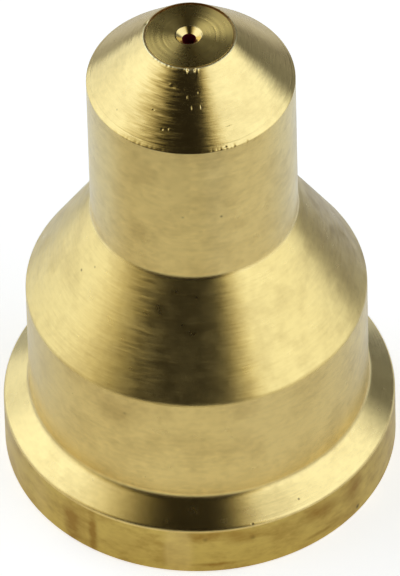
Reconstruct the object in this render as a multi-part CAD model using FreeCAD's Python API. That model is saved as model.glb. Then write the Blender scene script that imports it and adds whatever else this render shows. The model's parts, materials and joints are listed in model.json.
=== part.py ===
"""Pilot gas injector: one brass turning that meters gas into a pilot burner.

Gas enters the bore in the base, meets the drill point inside the nose and leaves through a fine orifice
in the tip. Outside, from the base up: a flange that the gas pipe is pushed against, the body that centres
the part in the burner, the shoulder cone that leads to the nose, and the tip cone with its lipped face.
All sizes are in millimetres. The axis is +Z and the base stands on Z = 0.
"""
import FreeCAD
import Part

import math
import os

# Diameters, from the base up
flange_diameter = 8.0
body_diameter = 6.93
nose_diameter = 4.19
tip_rim_diameter = 1.87

# Heights of the outer steps, from the base up
flange_wall_height = 1.24
flange_bevel_height = 0.44
body_wall_height = 2.69
shoulder_cone_height = 2.30
nose_wall_height = 3.55
tip_cone_height = 1.23

# The tip face, just below the thin lip round it. The tool left a fine groove along the lip and a shallow
# dish in the middle. The groove's depth and the face's are taken from the crest of the lip
lip_land = 0.018
lip_width = 0.03
lip_groove_depth = 0.04
lip_groove_floor = 0.025
lip_groove_width = 0.03
face_depth = 0.015
dish_diameter = 1.07
dish_angle = 2.5

# The gas passage
inlet_diameter = 2.6
inlet_chamfer = 0.3
drill_point_angle = 118.0
orifice_diameter = 0.28
orifice_length = 0.4
countersink_diameter = 0.53
countersink_angle = 100.0

# Broken edges, and the round that the tool's nose leaves in an inner corner
base_edge_round = 0.08
flange_edge_round = 0.12
body_edge_round = 0.18
nose_edge_round = 0.05
tool_nose_round = 0.2

# How far a cutting form stands out of the metal, so that it cuts clean through a face
overrun = 0.5

flange_radius = flange_diameter / 2
body_radius = body_diameter / 2
nose_radius = nose_diameter / 2
tip_rim_radius = tip_rim_diameter / 2
inlet_radius = inlet_diameter / 2
orifice_radius = orifice_diameter / 2
countersink_radius = countersink_diameter / 2

body_foot = flange_wall_height + flange_bevel_height
body_top = body_foot + body_wall_height
nose_foot = body_top + shoulder_cone_height
nose_top = nose_foot + nose_wall_height
tip_height = nose_top + tip_cone_height

groove_outer_radius = tip_rim_radius - lip_width
groove_floor_radius = groove_outer_radius - lip_groove_floor
face_radius = groove_outer_radius - lip_groove_width
dish_radius = dish_diameter / 2
groove_height = tip_height - lip_groove_depth
face_height = tip_height - face_depth
dish_slope = math.tan(math.radians(dish_angle))
dish_centre_height = face_height - dish_radius * dish_slope
countersink_height = face_height - (dish_radius - countersink_radius) * dish_slope

countersink_slope = math.tan(math.radians(countersink_angle / 2))
drill_point_slope = math.tan(math.radians(drill_point_angle / 2))
orifice_mouth = countersink_height - (countersink_radius - orifice_radius) / countersink_slope
orifice_foot = orifice_mouth - orifice_length
inlet_top = orifice_foot - (inlet_radius - orifice_radius) / drill_point_slope


def in_section(point):
    """A profile point (radius, height) in the XZ plane, where the section is drawn."""
    radius, height = point
    return FreeCAD.Vector(radius, 0, height)


def towards(start, end):
    """The unit vector from one section point to another."""
    return (end - start).normalize()


def rounded(before, corner, after, radius):
    """Where a round leaves the first edge, its middle and its end on the second: none if radius is 0."""
    if radius == 0:
        return corner, None, corner
    back = towards(corner, before)
    ahead = towards(corner, after)
    half_angle = back.getAngle(ahead) / 2
    setback = radius / math.tan(half_angle)
    depth = radius / math.sin(half_angle) - radius
    inwards = (back + ahead).normalize()
    return corner + back * setback, corner + inwards * depth, corner + ahead * setback


def turned(profile):
    """A solid of revolution about Z. Each profile corner is (radius, height, round), 0 for a sharp one."""
    corners = [in_section((radius, height)) for radius, height, _ in profile]
    following = corners[1:] + corners[:1]
    rounds = [
        rounded(corners[i - 1], corner, following[i], profile[i][2])
        for i, corner in enumerate(corners)
    ]
    edges = []
    for (start, middle, end), (next_start, _, _) in zip(rounds, rounds[1:] + rounds[:1]):
        if middle is not None:
            edges.append(Part.Arc(start, middle, end).toShape())
        edges.append(Part.makeLine(end, next_start))
    section = Part.Face(Part.Wire(edges))
    return section.revolve(FreeCAD.Vector(0, 0, 0), FreeCAD.Vector(0, 0, 1), 360)


def outer_form():
    """The turned outside: flange, body, shoulder cone, nose, tip cone, lip, groove and dished face."""
    return turned([
        (0, 0, 0),
        (flange_radius, 0, base_edge_round),
        (flange_radius, flange_wall_height, flange_edge_round),
        (body_radius, body_foot, tool_nose_round),
        (body_radius, body_top, body_edge_round),
        (nose_radius, nose_foot, tool_nose_round),
        (nose_radius, nose_top, nose_edge_round),
        (tip_rim_radius, tip_height, 0),
        (tip_rim_radius - lip_land, tip_height, 0),
        (groove_outer_radius, groove_height, 0),
        (groove_floor_radius, groove_height, 0),
        (face_radius, face_height, 0),
        (dish_radius, face_height, 0),
        (0, dish_centre_height, 0),
    ])


def gas_passage():
    """What is drilled out: chamfered inlet bore, drill point, orifice and its countersink."""
    return turned([
        (0, -overrun, 0),
        (inlet_radius + inlet_chamfer, -overrun, 0),
        (inlet_radius + inlet_chamfer, 0, 0),
        (inlet_radius, inlet_chamfer, 0),
        (inlet_radius, inlet_top, 0),
        (orifice_radius, orifice_foot, 0),
        (orifice_radius, orifice_mouth, 0),
        (countersink_radius + overrun * countersink_slope, countersink_height + overrun, 0),
        (0, countersink_height + overrun, 0),
    ])


os.makedirs("parts", exist_ok=True)
injector = outer_form().cut(gas_passage())
injector.exportStep("parts/injector.step")
print("injector solids", len(injector.Solids), "valid", injector.isValid())
print("volume in cubic millimetres", round(injector.Volume, 3))
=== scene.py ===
# %% [markdown]
# A pilot gas injector
#
# The object is a gas jet as long as a fingernail, turned from one brass bar. Gas enters a bore in its
# flat base and leaves through a hole of 0.28 mm in its tip. There is nothing to assemble: all the
# interest lies in one section turned about an axis, and in how bare turned metal takes the light.
#
# The lesson loads the measured frame, sets the camera and the studio, works the surface out as an array,
# and then builds the finishes: turned, faced, drawn and drilled brass.

# %% Load the frame
import json
import math

import bpy
import numpy as np
from mathutils import Matrix, Vector


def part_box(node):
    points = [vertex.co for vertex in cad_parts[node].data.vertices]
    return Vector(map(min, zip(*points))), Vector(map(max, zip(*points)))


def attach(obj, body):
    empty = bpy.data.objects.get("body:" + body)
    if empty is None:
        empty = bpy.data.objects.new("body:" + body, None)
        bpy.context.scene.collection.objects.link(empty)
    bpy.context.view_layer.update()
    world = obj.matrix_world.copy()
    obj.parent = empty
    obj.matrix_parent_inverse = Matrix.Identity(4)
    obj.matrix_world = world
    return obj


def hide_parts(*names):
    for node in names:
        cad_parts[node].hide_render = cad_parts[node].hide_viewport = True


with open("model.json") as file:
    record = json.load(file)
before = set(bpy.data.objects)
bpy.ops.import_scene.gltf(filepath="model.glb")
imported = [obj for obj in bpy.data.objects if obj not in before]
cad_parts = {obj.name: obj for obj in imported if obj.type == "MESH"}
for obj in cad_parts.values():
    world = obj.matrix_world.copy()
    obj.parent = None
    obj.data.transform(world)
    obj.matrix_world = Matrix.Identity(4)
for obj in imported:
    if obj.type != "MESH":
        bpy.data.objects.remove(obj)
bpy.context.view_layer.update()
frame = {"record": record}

MM = 0.001
low, high = (np.array(corner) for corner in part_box("injector"))
mounts = {mount["name"]: mount for mount in frame["record"]["mounts"]}

# %% [markdown]
# The camera
#
# A part this small is photographed with a long lens from some way off, so its upright edges hardly
# converge. The view was found by fitting circles of the section to their ellipses in the photograph: the
# lens looks down at 46 degrees, the part leans 1.6 degrees to the left, and its base lies 278 mm away.
# In the object's frame the camera stands on the -Y side.

# %% Set the camera
lens_length = 848.36
sensor_size = 36.0
view_down = math.radians(46.281)
lean = math.radians(-1.575)
base_from_camera = np.array([0.010, -2.886, -278.15]) * MM

level_share = math.cos(view_down)
axis = np.array([math.sin(lean) * level_share, math.cos(lean) * level_share, math.sin(view_down)])
towards_camera = np.array([0.0, 0.0, 1.0]) - axis * axis[2]
front = towards_camera / np.linalg.norm(towards_camera)
camera_to_object = np.array([np.cross(-front, axis), -front, axis])
camera_place = -camera_to_object @ base_from_camera

lens = bpy.data.cameras.new("lens")
lens.lens = lens_length
lens.sensor_width = sensor_size
lens.dof.use_dof = False
camera = bpy.data.objects.new("camera", lens)
camera.matrix_world = Matrix.Translation(Vector(camera_place)) @ Matrix(camera_to_object.tolist()).to_4x4()
bpy.context.scene.collection.objects.link(camera)
bpy.context.scene.camera = camera
bpy.context.scene.view_settings.view_transform = "Standard"
print("camera at mm", np.round(camera_place / MM, 1))

# %% [markdown]
# Building nodes
#
# Every material here is a network of nodes. Small helpers keep the code short: the first adds a node with
# its settings and its inputs, where an input is a number, a colour or another node's socket, and the others
# do arithmetic, soft steps and mixes of colour with it. A group is made once and placed in each material
# that needs it.

# %% Node helpers
def put(tree, kind, settings=None, **inputs):
    """Adds a node. A socket name is written with _ for its spaces, or as in_0, in_1 for its place."""
    node = tree.nodes.new(kind)
    for name, value in (settings or {}).items():
        setattr(node, name, value)
    for name, value in inputs.items():
        key = int(name[3:]) if name.startswith("in_") else name.replace("_", " ")
        if isinstance(value, bpy.types.NodeSocket):
            tree.links.new(value, node.inputs[key])
        else:
            node.inputs[key].default_value = value
    return node


def calc(tree, operation, *values, clamp=False):
    """The result of a Math node on numbers or sockets."""
    inputs = {f"in_{i}": value for i, value in enumerate(values)}
    return put(tree, "ShaderNodeMath", {"operation": operation, "use_clamp": clamp}, **inputs).outputs[0]


def vector_calc(tree, operation, *values, out="Vector", scale=None):
    """The result of a Vector Math node on vectors or sockets."""
    inputs = {f"in_{i}": value for i, value in enumerate(values)}
    if scale is not None:
        inputs["Scale"] = scale
    return put(tree, "ShaderNodeVectorMath", {"operation": operation}, **inputs).outputs[out]


def ramp(tree, value, start, end, low_value=0.0, high_value=1.0):
    """A smooth step: low_value up to start, high_value from end on."""
    node = put(tree, "ShaderNodeMapRange", {"interpolation_type": "SMOOTHSTEP"}, Value=value,
               From_Min=start, From_Max=end, To_Min=low_value, To_Max=high_value)
    return node.outputs["Result"]


def mixed_colour(tree, share, first, second, blend="MIX"):
    """The first colour where the share is 0 and the second where it is 1, or the second added to it."""
    return put(tree, "ShaderNodeMix", {"data_type": "RGBA", "blend_type": blend}, in_0=share, in_6=first,
               in_7=second).outputs[2]


def new_group(name, inputs, outputs):
    """A shader node group with named sockets; gives its tree, its input node and its output node."""
    group = bpy.data.node_groups.new(name, "ShaderNodeTree")
    for socket, (kind, value) in inputs.items():
        made = group.interface.new_socket(name=socket, in_out="INPUT", socket_type=kind)
        made.default_value = value
    for socket, kind in outputs.items():
        group.interface.new_socket(name=socket, in_out="OUTPUT", socket_type=kind)
    return group, group.nodes.new("NodeGroupInput"), group.nodes.new("NodeGroupOutput")


def use_group(tree, group, **inputs):
    """Places a group in a tree and gives its output sockets."""
    node = tree.nodes.new("ShaderNodeGroup")
    node.node_tree = group
    for name, value in inputs.items():
        socket = node.inputs[name.replace("_", " ")]
        if isinstance(value, bpy.types.NodeSocket):
            tree.links.new(value, socket)
        else:
            socket.default_value = value
    return node.outputs


# %% [markdown]
# The studio
#
# Bare metal has no look of its own: it shows what stands around it. The photograph's brass reads as two
# large soft boxes, left and right, in a dark room, with the dark side of the room behind the camera. That
# is the dark stripe down the front of every cone. Here the boxes are painted on the world by direction,
# which costs no sampling noise and keeps them out of every view. The left box leans away with height, so
# that edge of the stripe is oblique and soft, and the right box gives it a sharp upright edge. The flat
# face of the tip mirrors what stands behind the part: a third box, high at the left, gives its light fans,
# and the gap below that box its dark ones.
#
# The camera itself sees plain white round the part. Below the horizon that white is a table, which curves
# up behind the part, and the metal shows it too, dimmer because it is lit and not lit up. Towards the
# camera the boxes fade into amber, as thin cloth does over a dark room, so the brass deepens in colour
# before it darkens.

# %% Where the soft boxes stand
# A side of a box is its azimuth at the horizon, the degrees that it moves for each degree of elevation, and
# its fade. The bottom and the top are an elevation and a fade. All are in degrees. The azimuth is 0 towards
# the camera and grows to the right. The high box and the gap lean: their edges sink by high_box_lean
# degrees for each degree that they go to the right, and their elevations hold straight behind the part
left_box = ((-146.0, -0.4, 3.0), (-65.0, 0.25, 29.0), (-24.0, 22.0), (59.0, 10.0))
right_box = ((31.0, -0.11, 13.0), (113.0, 0.18, 14.0), (-24.0, 22.0), (57.0, 8.0))
back_wall = ((104.0, 0.0, 6.0), (143.0, 0.0, 6.0), (-10.0, 14.0), (22.0, 14.0))
high_box = ((-220.5, 0.93, 4.0), (-122.0, 0.0, 12.0), (46.0, 3.0), (86.0, 6.0))
gap_below_high_box = ((-190.0, 0.0, 2.0), (-128.0, 0.0, 10.0), (32.0, 6.0), (46.5, 3.5))
high_box_lean = 0.3

box_level = 1.2
high_box_level = 0.98
back_wall_level = 0.15
box_colour = (0.98, 1.05, 1.14, 1.0)
box_edge_colour = (1.0, 0.87, 0.47, 1.0)
seam_elevation = -3.0
seam_half_width = 14.0
seam_dimming = 0.3
full_colour_sides = (60.0, 100.0)
print("boxes at level", box_level, "high box at", round(high_box_level * box_level, 3))

# %% Light from the soft boxes
def faded_step(tree, value, place, fade, high_value=1.0):
    """A soft edge, centred on a place: it rises over twice the fade, or falls where high_value is 0."""
    return ramp(tree, value, place - fade, place + fade, 1.0 - high_value, high_value)


def soft_box(tree, azimuth, elevation, box):
    """A mask of one box: 1 between its sides, its bottom and its top, with faded edges."""
    left, right, bottom, top = box
    on_left = calc(tree, "MULTIPLY_ADD", elevation, -left[1], azimuth)
    on_right = calc(tree, "MULTIPLY_ADD", elevation, -right[1], azimuth)
    across = calc(tree, "MULTIPLY", faded_step(tree, on_left, left[0], left[2]),
                  faded_step(tree, on_right, right[0], right[2], 0.0))
    upright = calc(tree, "MULTIPLY", faded_step(tree, elevation, *bottom),
                   faded_step(tree, elevation, *top, 0.0))
    return calc(tree, "MULTIPLY", across, upright)


def light_of_boxes(tree, azimuth, elevation, to_side):
    """The boxes' share of full light in a direction, dimmer at a low seam, and their colour there."""
    tilted = calc(tree, "MULTIPLY_ADD", calc(tree, "ADD", azimuth, 180.0), high_box_lean, elevation)
    gap = soft_box(tree, azimuth, tilted, gap_below_high_box)
    at_left = calc(tree, "MULTIPLY", soft_box(tree, azimuth, elevation, left_box),
                   calc(tree, "SUBTRACT", 1.0, gap))
    at_sides = calc(tree, "MAXIMUM", at_left, soft_box(tree, azimuth, elevation, right_box))
    high = calc(tree, "MULTIPLY", soft_box(tree, azimuth, tilted, high_box), high_box_level)
    boxes = calc(tree, "MAXIMUM", at_sides, high)
    behind = calc(tree, "MULTIPLY", soft_box(tree, azimuth, elevation, back_wall), back_wall_level)
    from_seam = calc(tree, "ABSOLUTE", calc(tree, "SUBTRACT", elevation, seam_elevation))
    seam_share = calc(tree, "DIVIDE", from_seam, seam_half_width, clamp=True)
    seam = calc(tree, "MULTIPLY_ADD", seam_share, seam_dimming, 1.0 - seam_dimming)
    share = calc(tree, "MULTIPLY", calc(tree, "MAXIMUM", boxes, behind), seam)
    whiteness = calc(tree, "MAXIMUM", calc(tree, "POWER", boxes, 2.0),
                     ramp(tree, to_side, *full_colour_sides))
    return share, mixed_colour(tree, whiteness, box_edge_colour, box_colour)


# %% The world
horizon = (-9.0, 0.0)
table_sides = (55.0, 85.0)
sweep_sides = (144.0, 164.0)
sweep_top = (4.0, 14.0)
table_before = 0.03
table_in_metal = 0.30
sweep_in_metal = 0.30
table_colour = (1.0, 1.01, 1.02, 1.0)
room_in_metal = 0.016
room_colour = (1.0, 0.82, 0.5, 1.0)


def light_of_table(tree, elevation, to_side):
    """The table below the horizon, dark towards the camera, and its sweep, which curves up behind."""
    below = ramp(tree, elevation, *horizon, 1.0, 0.0)
    near_table = ramp(tree, to_side, *table_sides, table_before, table_in_metal)
    sweep = calc(tree, "MULTIPLY", ramp(tree, to_side, *sweep_sides, 0.0, sweep_in_metal),
                 ramp(tree, elevation, *sweep_top, 1.0, 0.0))
    return calc(tree, "MULTIPLY_ADD", near_table, below, sweep)


def build_studio():
    """The world: boxes for light and reflections, and white where the camera looks past the part."""
    world = bpy.data.worlds.new("studio")
    world.use_nodes = True
    bpy.context.scene.world = world
    tree = world.node_tree
    tree.nodes.clear()
    direction = put(tree, "ShaderNodeTexCoord").outputs["Generated"]
    part = put(tree, "ShaderNodeSeparateXYZ", Vector=direction).outputs
    to_front = calc(tree, "MULTIPLY", part["Y"], -1.0)
    azimuth = calc(tree, "DEGREES", calc(tree, "ARCTAN2", part["X"], to_front))
    elevation = calc(tree, "DEGREES", calc(tree, "ARCSINE", part["Z"]))
    to_side = calc(tree, "ABSOLUTE", azimuth)
    boxes, box_tint = light_of_boxes(tree, azimuth, elevation, to_side)
    table = light_of_table(tree, elevation, to_side)
    open_table = calc(tree, "MULTIPLY", table, calc(tree, "SUBTRACT", 1.0, boxes))
    ray = put(tree, "ShaderNodeLightPath").outputs
    seen = calc(tree, "MAXIMUM", ray["Is Camera Ray"], ray["Is Transmission Ray"])
    in_metal = ray["Is Glossy Ray"]
    levels = [
        (box_tint, calc(tree, "MULTIPLY", boxes, box_level)),
        (table_colour, calc(tree, "MULTIPLY", open_table, in_metal)),
        (room_colour, calc(tree, "MULTIPLY", in_metal, room_in_metal)),
    ]
    lights = [put(tree, "ShaderNodeBackground", Color=colour, Strength=level) for colour, level in levels]
    white = put(tree, "ShaderNodeBackground", Color=(1.0, 1.0, 1.0, 1.0), Strength=1.0)
    both = put(tree, "ShaderNodeAddShader", in_0=lights[0].outputs[0], in_1=lights[1].outputs[0])
    all_light = put(tree, "ShaderNodeAddShader", in_0=both.outputs[0], in_1=lights[2].outputs[0])
    mixed = put(tree, "ShaderNodeMixShader", Fac=seen, in_1=all_light.outputs[0], in_2=white.outputs[0])
    put(tree, "ShaderNodeOutputWorld", Surface=mixed.outputs[0])


build_studio()
print("studio: boxes", box_level, "table", table_in_metal, "room", room_in_metal)

# %% [markdown]
# The floor
#
# The part stands on a small white plate. A pale diffuse colour under the two boxes comes out at about
# two fifths of white. The upright walls of the part mirror it, so its glow for reflections is set to what
# those walls show: warm before the part, cooler and brighter behind it, bluer at the front right, and with
# a lighter ring near the flange, which is the pale band at the foot of the body. The camera sees the plate
# lifted to white, as the background is, and the part's soft shadow stays in it. It lies a hair below the
# part's base, so that the two flat faces don't fight for the same place.

# %% The plate
plate_radius = 17 * MM
plate_drop = 0.005 * MM
plate_colour = (0.86, 0.86, 0.86, 1.0)
lift_for_camera = 0.64
glow_before_part = (0.21, 0.17, 0.07, 1.0)
glow_beside_part = (0.27, 0.29, 0.35, 1.0)
glow_behind_part = (0.38, 0.44, 0.58, 1.0)
more_at_right = (0.025, 0.04, 0.085, 1.0)
more_round_flange = (0.085, 0.09, 0.08, 1.0)
before_to_beside = (-4 * MM, 3 * MM)
beside_to_behind = (2 * MM, 12 * MM)
right_side = (0.5 * MM, 4 * MM)
front_side = (-3 * MM, 0.5 * MM)
ring_inside = (5.0 * MM, 5.4 * MM)
ring_outside = (5.8 * MM, 6.4 * MM)


def disc(radius, rings, segments):
    """A flat round grid: point (i, j) lies at radius i/rings and at angle 2 pi j/segments."""
    radii = radius * np.arange(1, rings + 1) / rings
    angles = 2 * np.pi * np.arange(segments) / segments
    x = np.outer(radii, np.cos(angles)).ravel()
    y = np.outer(radii, np.sin(angles)).ravel()
    points = np.vstack([np.zeros((1, 3)), np.column_stack([x, y, np.zeros_like(x)])])
    j = np.arange(segments)
    after = (j + 1) % segments
    faces = [list(face) for face in np.column_stack([np.zeros_like(j), 1 + j, 1 + after])]
    for ring in range(rings - 1):
        inner, outer = 1 + ring * segments, 1 + (ring + 1) * segments
        corners = np.column_stack([inner + j, outer + j, outer + after, inner + after])
        faces += [list(face) for face in corners]
    return points, faces


def glow_in_metal(tree):
    """What the part's walls show of the plate."""
    place = put(tree, "ShaderNodeTexCoord").outputs["Object"]
    to_right, behind = put(tree, "ShaderNodeSeparateXYZ", Vector=place).outputs[:2]
    nearer = mixed_colour(tree, ramp(tree, behind, *before_to_beside), glow_before_part, glow_beside_part)
    further = mixed_colour(tree, ramp(tree, behind, *beside_to_behind), nearer, glow_behind_part)
    before_right = calc(tree, "MULTIPLY", ramp(tree, to_right, *right_side),
                        ramp(tree, behind, *front_side, 1.0, 0.0))
    bluer = mixed_colour(tree, before_right, further, more_at_right, "ADD")
    from_middle = vector_calc(tree, "LENGTH", place, out="Value")
    ring_of_light = calc(tree, "MULTIPLY", ramp(tree, from_middle, *ring_inside),
                         ramp(tree, from_middle, *ring_outside, 1.0, 0.0))
    return mixed_colour(tree, ring_of_light, bluer, more_round_flange, "ADD")


def build_plate():
    """The white plate, as an object that isn't part of the model."""
    mesh = bpy.data.meshes.new("plate")
    points, faces = disc(plate_radius, 4, 96)
    mesh.from_pydata((points - (0.0, 0.0, plate_drop)).tolist(), [], faces)
    plate = bpy.data.objects.new("plate", mesh)
    bpy.context.scene.collection.objects.link(plate)
    material = bpy.data.materials.new("plate")
    material.use_nodes = True
    tree = material.node_tree
    tree.nodes.clear()
    ray = put(tree, "ShaderNodeLightPath").outputs
    to_camera = (lift_for_camera, lift_for_camera, lift_for_camera, 1.0)
    glow = mixed_colour(tree, ray["Is Camera Ray"], glow_in_metal(tree), to_camera)
    seen = calc(tree, "MAXIMUM", ray["Is Camera Ray"],
                calc(tree, "MAXIMUM", ray["Is Glossy Ray"], ray["Is Transmission Ray"]))
    matt = put(tree, "ShaderNodeBsdfDiffuse", Color=plate_colour)
    lit = put(tree, "ShaderNodeEmission", Color=glow, Strength=seen)
    both = put(tree, "ShaderNodeAddShader", in_0=matt.outputs[0], in_1=lit.outputs[0])
    put(tree, "ShaderNodeOutputMaterial", Surface=both.outputs[0])
    mesh.materials.append(material)
    return plate


plate = build_plate()
print("plate radius mm", plate_radius / MM)

# %% [markdown]
# The section
#
# A lathe makes a shape by moving a tool along a line while the bar turns, so the whole part is one closed
# line: up the outside, over the lip, across the face, down through the orifice and the bore, and back
# along the base. Each corner of the line is a radius, a height and a round. No edge of a real turning is
# perfectly sharp, and the bright or dark thread that each edge shows is that round mirroring a different
# part of the room, so even the sharpest edges get a few hundredths of a millimetre.

# %% Corners of the section
flange_radius = float(high[0])
tip_height = float(high[2])
body_radius = mounts["body"]["dims"]["r_mm"] * MM
nose_radius = mounts["nose"]["dims"]["r_mm"] * MM
inlet_radius = mounts["gas_inlet"]["dims"]["r_mm"] * MM
orifice_radius = mounts["orifice"]["dims"]["r_mm"] * MM

flange_wall_top = 1.24 * MM
body_foot = 1.68 * MM
body_top = 4.37 * MM
nose_foot = 6.67 * MM
nose_top = 10.22 * MM
tip_rim_radius = 0.935 * MM
lip_land = 0.018 * MM
lip_groove_radius = 0.905 * MM
lip_groove_floor = 0.88 * MM
lip_groove_height = tip_height - 0.04 * MM
face_radius = 0.875 * MM
face_height = tip_height - 0.015 * MM
dish_radius = 0.535 * MM
dish_slope = math.tan(math.radians(2.5))
dish_ring_half = 0.018 * MM
dish_ring_depth = 0.002 * MM
face_sag = 0.004 * MM
countersink_radius = 0.265 * MM
countersink_slope = math.tan(math.radians(50.0))
inlet_chamfer = 0.3 * MM
drill_point_slope = math.tan(math.radians(59.0))
countersink_height = face_height - (dish_radius - countersink_radius) * dish_slope
orifice_mouth = countersink_height - (countersink_radius - orifice_radius) / countersink_slope
orifice_foot = orifice_mouth - mounts["orifice"]["dims"]["length_mm"] * MM
inlet_top = orifice_foot - (inlet_radius - orifice_radius) / drill_point_slope

# A groove that the tool left just above the nose's edge, on the slope of the tip cone
cone_slope = (nose_radius - tip_rim_radius) / (tip_height - nose_top)
groove_height = nose_top + 0.085 * MM
groove_half = 0.016 * MM
groove_depth = 0.005 * MM


def on_tip_cone(height, sunk=0.0):
    """Radius and height of a point of the tip cone, pushed in by a depth."""
    return nose_radius - (height - nose_top) * cone_slope - sunk, height


# Each row is radius, height, round, and the zone of the stretch that follows the corner
ZONES = ["base", "drawn", "bevel", "wall", "shoulder", "cone",
         "lip", "groove", "face", "jet", "orifice", "bore"]
section = [
    (inlet_radius + inlet_chamfer, 0.0, 0.02 * MM, "base"),
    (flange_radius, 0.0, 0.08 * MM, "drawn"),
    (flange_radius, flange_wall_top, 0.12 * MM, "bevel"),
    (body_radius, body_foot, 0.20 * MM, "wall"),
    (body_radius, body_top, 0.18 * MM, "shoulder"),
    (nose_radius, nose_foot, 0.20 * MM, "wall"),
    (nose_radius, nose_top, 0.045 * MM, "cone"),
    (*on_tip_cone(groove_height - groove_half), 0.01 * MM, "cone"),
    (*on_tip_cone(groove_height, groove_depth), 0.01 * MM, "cone"),
    (*on_tip_cone(groove_height + groove_half), 0.01 * MM, "cone"),
    (tip_rim_radius + 0.004 * MM, tip_height - 0.012 * MM, 0.008 * MM, "lip"),
    (tip_rim_radius - lip_land, tip_height, 0.005 * MM, "groove"),
    (lip_groove_radius, lip_groove_height, 0.005 * MM, "groove"),
    (lip_groove_floor, lip_groove_height, 0.006 * MM, "groove"),
    (face_radius, face_height, 0.006 * MM, "face"),
    (dish_radius + dish_ring_half, face_height - face_sag, 0.01 * MM, "face"),
    (dish_radius, face_height - face_sag - dish_ring_depth, 0.008 * MM, "face"),
    (dish_radius - dish_ring_half, face_height - face_sag - dish_ring_half * dish_slope, 0.01 * MM, "face"),
    (countersink_radius, countersink_height, 0.04 * MM, "jet"),
    (orifice_radius, orifice_mouth, 0.006 * MM, "orifice"),
    (orifice_radius, orifice_foot, 0.01 * MM, "bore"),
    (inlet_radius, inlet_top, 0.03 * MM, "bore"),
    (inlet_radius, inlet_chamfer, 0.02 * MM, "bore"),
]
print("section corners", len(section), "zones", len(ZONES))


# %% [markdown]
# From the section to points
#
# A smooth shaded mesh bends the light over the whole of a face, so a long flat stretch beside a small
# round would look swollen. The cure is to put points close to each end of every straight stretch, and
# points along the arcs, so that the bending stays inside the round.

# %% Points along the section
arc_step = math.radians(9.0)
stretch_step = 1.2 * MM
plain_step = 3.0 * MM
support_gap = 0.008 * MM
close_gaps = support_gap * 2.4 ** np.arange(5)
plain_zones = ("base", "orifice", "bore")


def unit(rows):
    """Each row divided by its length."""
    return rows / np.linalg.norm(rows, axis=-1, keepdims=True)


def places_along(length, zone):
    """Shares of a straight stretch: its start, points closing in on both ends, and even steps between."""
    gaps, step = (close_gaps[:1], plain_step) if zone in plain_zones else (close_gaps, stretch_step)
    near = gaps[gaps < length / 2.5] / length
    count = int(np.ceil(length / step))
    even = np.arange(1, count) / count
    inner = even[(even > 1.5 * near.max(initial=0.0)) & (even < 1 - 1.5 * near.max(initial=0.0))]
    return np.unique(np.concatenate([[0.0], near, 1 - near, inner]))[:, None]


def section_points(rows):
    """The closed section as an array of points, with the zone of the segment that starts at each.

    A round of radius R in a corner of half angle h begins R / tan(h) away from the corner, and its centre
    is R / sin(h) away along the bisector. A straight stretch runs between two rounds.
    """
    corners = np.array([row[:2] for row in rows])
    rounds = np.array([row[2] for row in rows])
    back = unit(np.roll(corners, 1, axis=0) - corners)
    ahead = unit(np.roll(corners, -1, axis=0) - corners)
    half = np.arccos((back * ahead).sum(axis=1)) / 2
    setback = (rounds / np.tan(half))[:, None]
    centres = corners + unit(back + ahead) * (rounds / np.sin(half))[:, None]
    starts, ends = corners + back * setback, corners + ahead * setback
    points, zones = [], []
    for i, row in enumerate(rows):
        from_centre, to_centre = starts[i] - centres[i], ends[i] - centres[i]
        turn = np.pi - 2 * half[i]
        steps = max(2, int(np.ceil(turn / arc_step)))
        share = (np.arange(steps) / steps)[:, None]
        arc = np.sin((1 - share) * turn) * from_centre + np.sin(share * turn) * to_centre
        points.append(centres[i] + arc / np.sin(turn))
        stretch = starts[(i + 1) % len(rows)] - ends[i]
        along = places_along(np.linalg.norm(stretch), row[3])
        points.append(ends[i] + along * stretch)
        zones += [ZONES.index(row[3])] * (steps + len(along))
    return np.vstack(points), np.array(zones)


profile, profile_zone = section_points(section)
print("section points", len(profile), "of zones", np.bincount(profile_zone).tolist())

# %% [markdown]
# Turning the section
#
# The surface is a function of two numbers: the azimuth round the axis, 0 towards the camera, and the place
# along the section. The azimuths are closer together at the front of the rim, where a nick is formed.

# %% Azimuths round the axis
segments = 392
nick_azimuth = math.radians(0.9)
fine_share = 0.75

even_turn = 2 * np.pi * (np.arange(segments) + 0.5) / segments - np.pi
azimuths = even_turn - fine_share * np.sin(even_turn) + nick_azimuth
steps_in_degrees = np.degrees(np.diff(azimuths))
print("azimuth steps in degrees", steps_in_degrees.min().round(2), "to", steps_in_degrees.max().round(2))

# %% [markdown]
# Knocks and the drill's wander
#
# The photographed part has been handled. The thin lip round the face has one nick at the front, a bright
# ding at the back left and a beaded burr at the left, and the nose's top edge is bruised at small places.
# The orifice sits 0.04 mm behind the axis, because a drill this fine wanders. All of these are offsets of
# the turned grid, which fade with the distance from the place that was hit, and none of them goes past the
# part's measured box.

# %% Offsets of the turned surface
rim_reach = 0.075 * MM
nick_half_width = math.radians(6.4)
nick_depth = 0.055 * MM
nick_burr = 0.012 * MM
ding_depth = 0.02 * MM
bead_reach = 0.035 * MM
bead_depth = 0.009 * MM
bead_waves = ((37, 0.3), (53, 1.9), (71, 4.0))
edge_reach = 0.075 * MM
edge_bruise = 0.012 * MM
edge_waves = ((47, 0.9), (89, 2.2), (141, 5.1))
left_bruise_share = 0.35
# The azimuth and the half width of each mark, in degrees
ding_place = (-114.0, 5.0)
beads_place = (-38.0, 24.0)
right_bruise_place = (34.0, 17.0)
left_bruise_place = (-36.0, 18.0)
# How far out the drill's wander is felt in the hole and in the countersink, and how far down
hole_reach = 0.24 * MM
sink_reach = (0.30 * MM, 0.62 * MM)
wander_below = 1.0 * MM
countersink_shift = np.array([-0.018, 0.035]) * MM
orifice_shift = np.array([-0.012, 0.036]) * MM


def smooth_share(value, start, end):
    """0 up to start and 1 from end on, with no corner between: t t (3 - 2 t)."""
    t = np.clip((value - start) / (end - start), 0.0, 1.0)
    return t * t * (3 - 2 * t)


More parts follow.
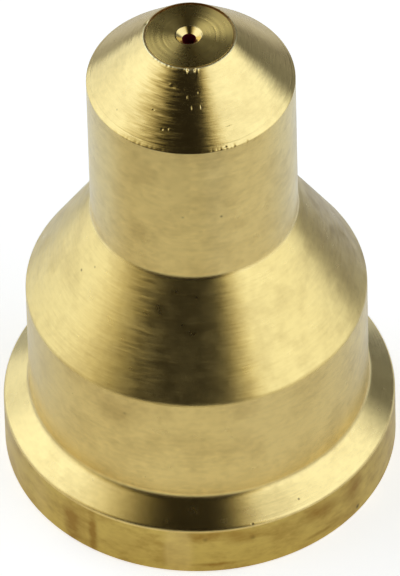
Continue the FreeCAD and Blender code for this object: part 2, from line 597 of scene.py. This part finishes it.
def turn_section(points, around):
    """Radius and height over the whole grid, rows along the section and columns round the axis."""
    ones = np.ones_like(around)
    return np.outer(points[:, 0], ones), np.outer(points[:, 1], ones)


def waves_round(around, waves):
    """A mean of cosines, from -1 to 1: each wave is its count per turn and its phase."""
    return sum(np.cos(count * around + phase) for count, phase in waves) / len(waves)


def mark_round(around, place):
    """1 at the mark's azimuth, fading to both sides as exp(-(a / w)^2), with a the angle from it."""
    azimuth, half_width = place
    return np.exp(-((around - math.radians(azimuth)) / math.radians(half_width)) ** 2)


def bruise_edge(radius, height, around):
    """Presses the nose's top edge in at small places, most of all at the front right."""
    distance = np.hypot(radius - nose_radius, height - nose_top)
    fade = 1 - smooth_share(distance, 0.2 * edge_reach, edge_reach)
    at_right = mark_round(around, right_bruise_place)
    at_left = mark_round(around, left_bruise_place)
    bruised = smooth_share(waves_round(around, edge_waves), -0.1, 0.5)
    pressed = edge_bruise * fade * (at_right + left_bruise_share * at_left) * bruised
    return radius - 0.7 * pressed, height - 0.7 * pressed


def knock_rim(radius, height, around):
    """Presses the lip down and in: depth(azimuth) times a fade over the distance to the rim's crest."""
    distance = np.hypot(radius - tip_rim_radius, height - tip_height)
    fade = 1 - smooth_share(distance, 0.25 * rim_reach, rim_reach)
    bead_fade = 1 - smooth_share(distance, 0.5 * bead_reach, bead_reach)
    from_nick = np.abs(around - nick_azimuth) / nick_half_width
    nick = nick_depth * smooth_share(1 - from_nick, 0.0, 0.6)
    shoulders = nick_burr * np.exp(-((from_nick - 1.15) / 0.22) ** 2)
    ding = ding_depth * mark_round(around, ding_place)
    beads = bead_depth * mark_round(around, beads_place) * (0.5 + 0.5 * waves_round(around, bead_waves))
    pressed = fade * (nick + ding) + bead_fade * beads
    return radius - 0.35 * pressed + fade * shoulders, height - pressed


def drill_wander(radius, height):
    """The shift of countersink and orifice, in x and y, which fades out over the face and below."""
    near_hole = 1 - smooth_share(radius, orifice_radius, hole_reach)
    near_sink = 1 - smooth_share(radius, *sink_reach)
    further = orifice_shift - countersink_shift
    shift = near_sink[..., None] * countersink_shift + near_hole[..., None] * further
    return shift * smooth_share(height, inlet_top - wander_below, orifice_foot)[..., None]


radius_grid, height_grid = turn_section(profile, azimuths)
radius_grid, height_grid = bruise_edge(radius_grid, height_grid, azimuths[None, :])
radius_grid, height_grid = knock_rim(radius_grid, height_grid, azimuths[None, :])
wander = drill_wander(radius_grid, height_grid)
x_grid = radius_grid * np.sin(azimuths) + wander[..., 0]
y_grid = -radius_grid * np.cos(azimuths) + wander[..., 1]
print("grid", radius_grid.shape, "lowest rim mm", round(float(height_grid.max(axis=0).min() / MM), 3))

# %% [markdown]
# The mesh
#
# The grid closes on itself both ways, round the axis and along the section, so it has no poles and no open
# edge. Its UV map holds the turns round the axis and the millimetres along the section: feed marks are
# rings, so their pattern needs only the second number, and the grain of turned metal follows the first.

# %% The grid as a mesh
def grid_faces(rows, columns):
    """Four corners for each cell of a grid that wraps both ways, in the order that faces outwards."""
    i, j = np.meshgrid(np.arange(rows), np.arange(columns), indexing="ij")
    up, right = (i + 1) % rows, (j + 1) % columns
    return np.stack([i * columns + j, i * columns + right, up * columns + right, up * columns + j], axis=-1)


def grid_uv(points, columns):
    """The UV of each cell's corners: u is the share of a turn, v the distance along the section in mm."""
    step = np.linalg.norm(np.roll(points, -1, axis=0) - points, axis=1) / MM
    v = np.concatenate([[0.0], np.cumsum(step)])
    u = np.arange(columns + 1) / columns
    left, right = np.meshgrid(v[:-1], u[:-1], indexing="ij"), np.meshgrid(v[1:], u[1:], indexing="ij")
    corners = [(left[1], left[0]), (right[1], left[0]), (right[1], right[0]), (left[1], right[0])]
    return np.stack([np.stack(corner, axis=-1) for corner in corners], axis=2)


def grid_mesh(name):
    """The turned surface as a Blender mesh, smooth, with its zones as material numbers."""
    rows, columns = radius_grid.shape
    mesh = bpy.data.meshes.new(name)
    corners = grid_faces(rows, columns).reshape(-1, 4)
    points = np.stack([x_grid, y_grid, height_grid], axis=-1).reshape(-1, 3)
    mesh.from_pydata(points.tolist(), [], corners.tolist())
    uv = mesh.uv_layers.new(name="turned")
    uv.data.foreach_set("uv", grid_uv(profile, columns).ravel())
    mesh.polygons.foreach_set("material_index", np.repeat(profile_zone, columns))
    mesh.polygons.foreach_set("use_smooth", np.ones(rows * columns, dtype=bool))
    mesh.update()
    return mesh


turned = grid_mesh("turned_injector")
injector = bpy.data.objects.new("turned_injector", turned)
bpy.context.scene.collection.objects.link(injector)
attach(injector, "root")
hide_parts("injector")
print("triangles", 2 * len(turned.polygons), "valid", not turned.validate())

# %% [markdown]
# Effects that the finishes share
#
# Turned brass isn't smooth. The tool leaves rings that break off and start again, the metal has a fine
# short grain, and handling and dried coolant leave soft blotches. Two node groups make these, and each
# finish sets how much of them shows. The marks of the tool serve three times: drawn out long as the rings,
# short as the grain, and almost round as a fine mottling of the colour. Both groups read the object's own
# coordinates, so they have no seam round the axis, and the marks of the tool also read the distance along
# the section.

# %% Marks of the tool
def mark_group():
    """Marks of the tool: noise drawn out along the rings. Pitch is across them, Length along, in mm."""
    group, given, made = new_group("tool_marks", {
        "Pitch": ("NodeSocketFloat", 0.06),
        "Length": ("NodeSocketFloat", 2.0),
    }, {"Height": "NodeSocketFloat"})
    place = put(group, "ShaderNodeTexCoord").outputs["Object"]
    around = put(group, "ShaderNodeSeparateXYZ", Vector=place).outputs
    uv = put(group, "ShaderNodeUVMap", {"uv_map": "turned"}).outputs[0]
    along = put(group, "ShaderNodeSeparateXYZ", Vector=uv).outputs["Y"]
    in_lengths = calc(group, "DIVIDE", 1 / MM, given.outputs["Length"])
    drawn_out = put(group, "ShaderNodeCombineXYZ", X=calc(group, "MULTIPLY", around["X"], in_lengths),
                    Y=calc(group, "MULTIPLY", around["Y"], in_lengths),
                    Z=calc(group, "DIVIDE", along, given.outputs["Pitch"])).outputs[0]
    noise = put(group, "ShaderNodeTexNoise", Vector=drawn_out, Scale=1.0, Detail=1.0, Roughness=0.6)
    group.links.new(noise.outputs[0], made.inputs["Height"])
    return group


# %% Blotches
stain_edges = (0.40, 0.68)
haze_scale = 2.5
haze_offset = (7.3, 2.1, 5.7)


def blotch_group():
    """Soft blotches: noise on the object's coordinates in mm. Stain is 0 where clean, 1 where stained."""
    group, given, made = new_group("blotches", {
        "Size": ("NodeSocketFloat", 1.0),
        "Amount": ("NodeSocketFloat", 0.5),
        "Stretch": ("NodeSocketVector", (1.0, 1.0, 1.0)),
    }, {"Stain": "NodeSocketFloat", "Haze": "NodeSocketFloat"})
    place = put(group, "ShaderNodeTexCoord").outputs["Object"]
    in_mm = vector_calc(group, "SCALE", place, scale=1 / MM)
    sized = vector_calc(group, "DIVIDE", in_mm, given.outputs["Stretch"])
    scale = calc(group, "DIVIDE", 1.0, given.outputs["Size"])
    soft = put(group, "ShaderNodeTexNoise", Vector=sized, Scale=scale, Detail=5.0, Roughness=0.6)
    moved = vector_calc(group, "ADD", sized, haze_offset)
    finer = calc(group, "MULTIPLY", scale, haze_scale)
    haze = put(group, "ShaderNodeTexNoise", Vector=moved, Scale=finer, Detail=3.0)
    spread = ramp(group, soft.outputs[0], *stain_edges)
    group.links.new(calc(group, "MULTIPLY", spread, given.outputs["Amount"]), made.inputs["Stain"])
    group.links.new(haze.outputs[0], made.inputs["Haze"])
    return group


tool_marks, blotches = mark_group(), blotch_group()
print("groups", [group.name for group in (tool_marks, blotches)])

# %% [markdown]
# The marks of this one part
#
# A few marks are large enough to be seen one by one: short dents that catch the light on the tip, dark
# pits, and soiled and wiped places. Each is a small ball of influence placed on the surface by its azimuth
# and its place in the section, and drawn out along the rings or along the axis. A dent lowers the surface,
# a pit lowers it and darkens it, and soil and wiping change only the colour.

# %% Marks one by one
dent_reach = 0.06
# Azimuth in degrees, radius and height in mm, length round the axis, length up the axis, depth in microns.
# A depth below 0 raises the surface
dents = [
    (-17.6, 1.205, 11.165, 0.09, 0.030, 5.0), (-19.8, 1.175, 11.198, 0.05, 0.030, -3.0),
    (-3.2, 1.325, 11.037, 0.022, 0.11, 4.0), (0.3, 1.470, 10.882, 0.020, 0.10, 4.0),
    (7.4, 1.467, 10.886, 0.020, 0.06, 4.0), (6.8, 1.269, 11.096, 0.03, 0.03, 3.0),
    (-6.3, 1.222, 11.146, 0.02, 0.04, 2.0), (-19.4, 1.800, 10.533, 0.04, 0.03, 6.0),
    (-15.7, 1.781, 10.553, 0.03, 0.03, 6.0), (-28.7, 1.575, 10.771, 0.04, 0.02, 4.0),
    (23.5, 1.796, 10.537, 0.14, 0.016, 3.0), (18.3, 2.062, 10.255, 0.06, 0.02, 5.0),
]
# Azimuth in degrees, radius and height in mm, size in mm, how dark
dark_pits = [
    (-65.0, 2.544, 5.916, 0.045, 0.75), (-58.3, 2.388, 6.178, 0.040, 0.45),
    (-54.0, 1.835, 10.496, 0.035, 0.35), (30.5, 3.835, 1.375, 0.035, 0.85),
    (14.5, 3.985, 1.255, 0.045, 0.6), (52.0, 4.000, 0.200, 0.09, 0.8),
    (-26.0, 3.465, 3.848, 0.05, 0.3), (-6.5, 2.095, 8.403, 0.035, 0.45),
    (14.8, 2.095, 8.344, 0.045, 0.7), (0.5, 4.000, 0.975, 0.08, 0.35),
    (14.5, 4.000, 0.887, 0.09, 0.35), (139.0, 0.925, 11.445, 0.035, 0.7),
    (122.0, 0.925, 11.445, 0.035, 0.7),
]
# Azimuth in degrees, radius and height in mm, length round the axis, length up the axis, how strong
soiled = [
    (-42.0, 4.0, 0.50, 0.30, 1.1, 0.7), (-34.0, 4.0, 0.45, 0.16, 1.0, 0.9),
    (-22.0, 4.0, 0.55, 0.60, 0.5, 0.3), (2.0, 4.0, 1.10, 1.2, 0.22, 0.7),
    (11.0, 4.0, 0.95, 0.5, 0.30, 0.6), (37.0, 4.0, 0.88, 0.8, 0.35, 0.9),
    (50.0, 4.0, 0.75, 0.45, 0.45, 0.7), (3.0, 4.0, 0.24, 0.8, 0.08, 0.6),
    # The broad patch at azimuth 100 makes the right side of the shoulder darker
    (36.0, 4.0, 0.27, 0.6, 0.08, 0.6), (100.0, 2.9, 5.30, 2.4, 2.2, 0.7),
    (-33.0, 2.095, 7.70, 0.35, 0.5, 0.5), (-28.0, 3.465, 3.80, 0.9, 0.9, 0.4),
]
wiped = [
    (-7.5, 4.0, 0.60, 0.40, 1.4, 2.4), (-55.0, 4.0, 0.70, 0.45, 1.2, 0.8),
    (-80.0, 4.0, 0.60, 1.6, 1.4, 1.0),
]


def influence(tree, place, azimuth, radius, height, sizes):
    """1 at a point of the surface and 0 outside the ellipsoid round it, all in mm."""
    turned_by = math.radians(azimuth)
    centre = (radius * math.sin(turned_by), -radius * math.cos(turned_by), height)
    local = put(tree, "ShaderNodeMapping", {"vector_type": "TEXTURE"}, Vector=place, Location=centre,
                Rotation=(0.0, 0.0, turned_by), Scale=sizes).outputs[0]
    distance = vector_calc(tree, "LENGTH", local, out="Value")
    return ramp(tree, distance, 0.0, 1.0, 1.0, 0.0)


def knock_group():
    """The listed dents as a height in microns, and the listed pits, soiled and wiped places as masks."""
    outputs = {name: "NodeSocketFloat" for name in ("Height", "Pit", "Soiled", "Wiped")}
    group, _, made = new_group("knocks", {}, outputs)
    place = vector_calc(group, "SCALE", put(group, "ShaderNodeTexCoord").outputs["Object"], scale=1 / MM)
    height, dark = 0.0, 0.0
    for socket, patches in (("Soiled", soiled), ("Wiped", wiped)):
        covered = 0.0
        for azimuth, radius, level, around, upright, strength in patches:
            near = influence(group, place, azimuth, radius, level, (around, around, upright))
            covered = calc(group, "MULTIPLY_ADD", near, strength, covered)
        group.links.new(calc(group, "MINIMUM", covered, 1.0), made.inputs[socket])
    for azimuth, radius, level, around, upright, depth in dents:
        near = influence(group, place, azimuth, radius, level, (around, dent_reach, upright))
        height = calc(group, "MULTIPLY_ADD", near, -depth, height)
    for azimuth, radius, level, size, strength in dark_pits:
        near = influence(group, place, azimuth, radius, level, (size, size, size))
        dark = calc(group, "MULTIPLY_ADD", near, strength, dark)
    group.links.new(height, made.inputs["Height"])
    group.links.new(dark, made.inputs["Pit"])
    return group


knocks = knock_group()
print("marks:", len(dents), "dents", len(dark_pits), "pits", len(soiled), "soiled", len(wiped), "wiped")

# %% [markdown]
# Brass
#
# Brass is a metal, so its colour is the colour of its reflections, and its roughness decides how much
# those smear. Turned metal smears them across the rings and hardly along them: the highlight on a turned
# cone is a fan. The Principled shader does this with its anisotropy, and the UV map gives it the direction
# of the rings, which a quarter turn sets across. On the cones the tool chattered, so each ring is a row of
# small facets that lean to the left and to the right in turn: the normal sways along the ring, which breaks
# the edges of the stripes into fine hatching.

# %% A finish of bare brass
clean_brass = (0.93, 0.745, 0.325, 1.0)
stained_brass = (0.55, 0.40, 0.15, 1.0)
pit_colour = (0.06, 0.045, 0.02, 1.0)
mark_mean = 0.45
micron = 0.001 * MM
pit_depth = 4.0
wiped_share = 0.4
quarter_turn = 0.25
# Painted shade: a finish may be painted darker from 0.2 to 0.8 mm behind the axis, on the back of a recess
painted_shade_span = (0.2 * MM, 0.8 * MM)
sway_in_middle = (-0.1 * MM, 0.15 * MM)
sway_at_left = (-1.6 * MM, -1.0 * MM)
less_sway = 0.2


def marked_colour(tree, colour, stain_colour, stain, wiped, pit):
    """The clean colour under its stain and any painted shade, its wiped places and its pits."""
    stained = mixed_colour(tree, stain, colour, stain_colour)
    wiped_clean = mixed_colour(tree, calc(tree, "MULTIPLY", wiped, wiped_share), stained, clean_brass)
    return mixed_colour(tree, pit, wiped_clean, pit_colour)


def swayed_normal(tree, normal, along_rings, ring, sway, to_right):
    """The normal leaned along the rings by the tool's chatter, which shows most left of the middle."""
    swaying = calc(tree, "MULTIPLY", ramp(tree, to_right, *sway_in_middle, sway, less_sway * sway),
                   ramp(tree, to_right, *sway_at_left, less_sway, 1.0))
    share = calc(tree, "MULTIPLY", calc(tree, "SUBTRACT", ring, 0.5), swaying)
    aside = vector_calc(tree, "SCALE", along_rings, scale=share)
    return vector_calc(tree, "NORMALIZE", vector_calc(tree, "ADD", normal, aside))


def brass_finish(name, colour=clean_brass, stain_colour=stained_brass, roughness=0.255, anisotropy=0.79,
                 ring_pitch=0.06, ring_length=3.0, ring_depth=4.0, grain_pitch=0.03, grain_length=0.14,
                 grain_depth=1.0, stain_size=0.9, stain_amount=0.22, stretch=(1.0, 1.0, 1.0),
                 haze=0.06, mottle=0.4, mottle_size=0.12, ring_tint=0.2, sway=0.0, soil_behind=0.0):
    """One material of bare brass. Sizes are in millimetres, and depths of marks in microns."""
    material = bpy.data.materials.new(name)
    material.use_nodes = True
    tree = material.node_tree
    tree.nodes.clear()
    ring = use_group(tree, tool_marks, Pitch=ring_pitch, Length=ring_length)["Height"]
    grain = use_group(tree, tool_marks, Pitch=grain_pitch, Length=grain_length)["Height"]
    blotch = use_group(tree, blotches, Size=stain_size, Amount=stain_amount, Stretch=stretch)
    fine = use_group(tree, tool_marks, Pitch=mottle_size, Length=1.5 * mottle_size)["Height"]
    own = use_group(tree, knocks)
    pit = calc(tree, "MINIMUM", own["Pit"], 1.0)
    own_place = put(tree, "ShaderNodeTexCoord").outputs["Object"]
    place = put(tree, "ShaderNodeSeparateXYZ", Vector=own_place).outputs
    # Painted shade: the colour darkens towards the back of the part
    painted_darkening = ramp(tree, place["Y"], *painted_shade_span, 0.0, soil_behind)
    mottled = calc(tree, "MULTIPLY_ADD", calc(tree, "SUBTRACT", fine, mark_mean), mottle, blotch["Stain"])
    ringed = calc(tree, "MULTIPLY_ADD", calc(tree, "SUBTRACT", ring, mark_mean), ring_tint, mottled)
    stain = calc(tree, "ADD", calc(tree, "ADD", ringed, own["Soiled"]), painted_darkening, clamp=True)
    pitted = marked_colour(tree, colour, stain_colour, stain, own["Wiped"], pit)
    from_mean = calc(tree, "SUBTRACT", blotch["Haze"], 0.5)
    uneven = calc(tree, "MULTIPLY_ADD", from_mean, 2 * haze, roughness)
    relief = calc(tree, "MULTIPLY_ADD", ring, ring_depth, own["Height"])
    grained = calc(tree, "MULTIPLY_ADD", grain, grain_depth, relief)
    sunk = calc(tree, "MULTIPLY_ADD", pit, -pit_depth, grained)
    bump = put(tree, "ShaderNodeBump", Strength=1.0, Distance=micron, Height=sunk).outputs[0]
    along_rings = put(tree, "ShaderNodeTangent",
                      {"direction_type": "UV_MAP", "uv_map": "turned"}).outputs[0]
    swayed = swayed_normal(tree, bump, along_rings, ring, sway, place["X"])
    brass = put(tree, "ShaderNodeBsdfPrincipled", Base_Color=pitted, Metallic=1.0, Roughness=uneven,
                Anisotropic=anisotropy, Anisotropic_Rotation=quarter_turn, Normal=swayed,
                Tangent=along_rings)
    put(tree, "ShaderNodeOutputMaterial", Surface=brass.outputs[0])
    return material


print("brass, clean", clean_brass[:3], "and stained", stained_brass[:3])

# %% [markdown]
# One finish for each zone
#
# The zones differ in how they were made. The drawn skin of the bar is rougher and browner than what the
# tool has cut, the shoulder and the tip cone show broken rings, and the face shows whole ones. The holes
# are painted a dark red, the painted shade of brass that mirrors only its own walls. The lip is painted
# paler than the rest, a painted highlight along the rim, and the back of the lip's groove is painted
# darker, a painted shade in that recess.

# %% The finishes
finishes = {
    "base": brass_finish("brass_faced_base", ring_pitch=0.05),
    "drawn": brass_finish("brass_drawn_skin", colour=(0.76, 0.59, 0.18, 1.0),
                          stain_colour=(0.44, 0.27, 0.06, 1.0), stain_amount=0.6, stain_size=0.7,
                          stretch=(1.3, 1.3, 0.7), ring_depth=0.3, anisotropy=0.3, roughness=0.33),
    "bevel": brass_finish("brass_turned_bevel", ring_depth=2.0, grain_depth=0.6),
    "wall": brass_finish("brass_turned_wall", roughness=0.25, anisotropy=0.8, ring_depth=1.0,
                         stain_amount=0.3, mottle=0.55),
    "shoulder": brass_finish("brass_turned_shoulder", colour=(0.93, 0.735, 0.295, 1.0), ring_depth=4.5,
                             grain_depth=0.6, grain_length=0.2, roughness=0.32, haze=0.12,
                             stain_amount=0.32, ring_pitch=0.07, ring_length=0.6, sway=0.2),
    "cone": brass_finish("brass_turned_cone", ring_pitch=0.045, ring_length=0.4, ring_depth=4.0,
                         sway=0.22),
    # The lip is painted paler and whiter than clean brass: a painted highlight along the rim
    "lip": brass_finish("brass_lip", colour=(1.0, 0.90, 0.52, 1.0), ring_depth=0.0, roughness=0.36,
                        anisotropy=0.0, mottle=0.0),
    # The groove's back is painted darker: painted shade in the recess behind the lip
    "groove": brass_finish("brass_lip_groove_painted_shade", colour=(0.74, 0.60, 0.29, 1.0),
                           stain_colour=(0.38, 0.20, 0.05, 1.0), ring_depth=0.0, stain_amount=0.3,
                           soil_behind=1.0, roughness=0.45, anisotropy=0.0),
    "face": brass_finish("brass_faced_tip", colour=(0.91, 0.685, 0.22, 1.0), ring_pitch=0.11,
                         ring_length=8.0, ring_depth=4.5, grain_depth=0.0, mottle=0.3, ring_tint=0.4,
                         roughness=0.28, anisotropy=0.95),
    "jet": brass_finish("brass_countersink", ring_depth=0.5, roughness=0.2, anisotropy=0.5),
    # The orifice and the bore are painted a dark red: painted shade of brass that mirrors only its own
    # walls
    "orifice": brass_finish("brass_orifice_painted_shade", colour=(0.42, 0.045, 0.08, 1.0),
                            stain_colour=(0.2, 0.02, 0.04, 1.0), ring_depth=0.0, roughness=0.6,
                            anisotropy=0.0),
    "bore": brass_finish("brass_drilled_bore_painted_shade", colour=(0.34, 0.13, 0.07, 1.0),
                         stain_colour=(0.16, 0.06, 0.04, 1.0), ring_pitch=0.12, stain_amount=0.7),
}
for zone in ZONES:
    turned.materials.append(finishes[zone])
print("finishes", len(turned.materials))
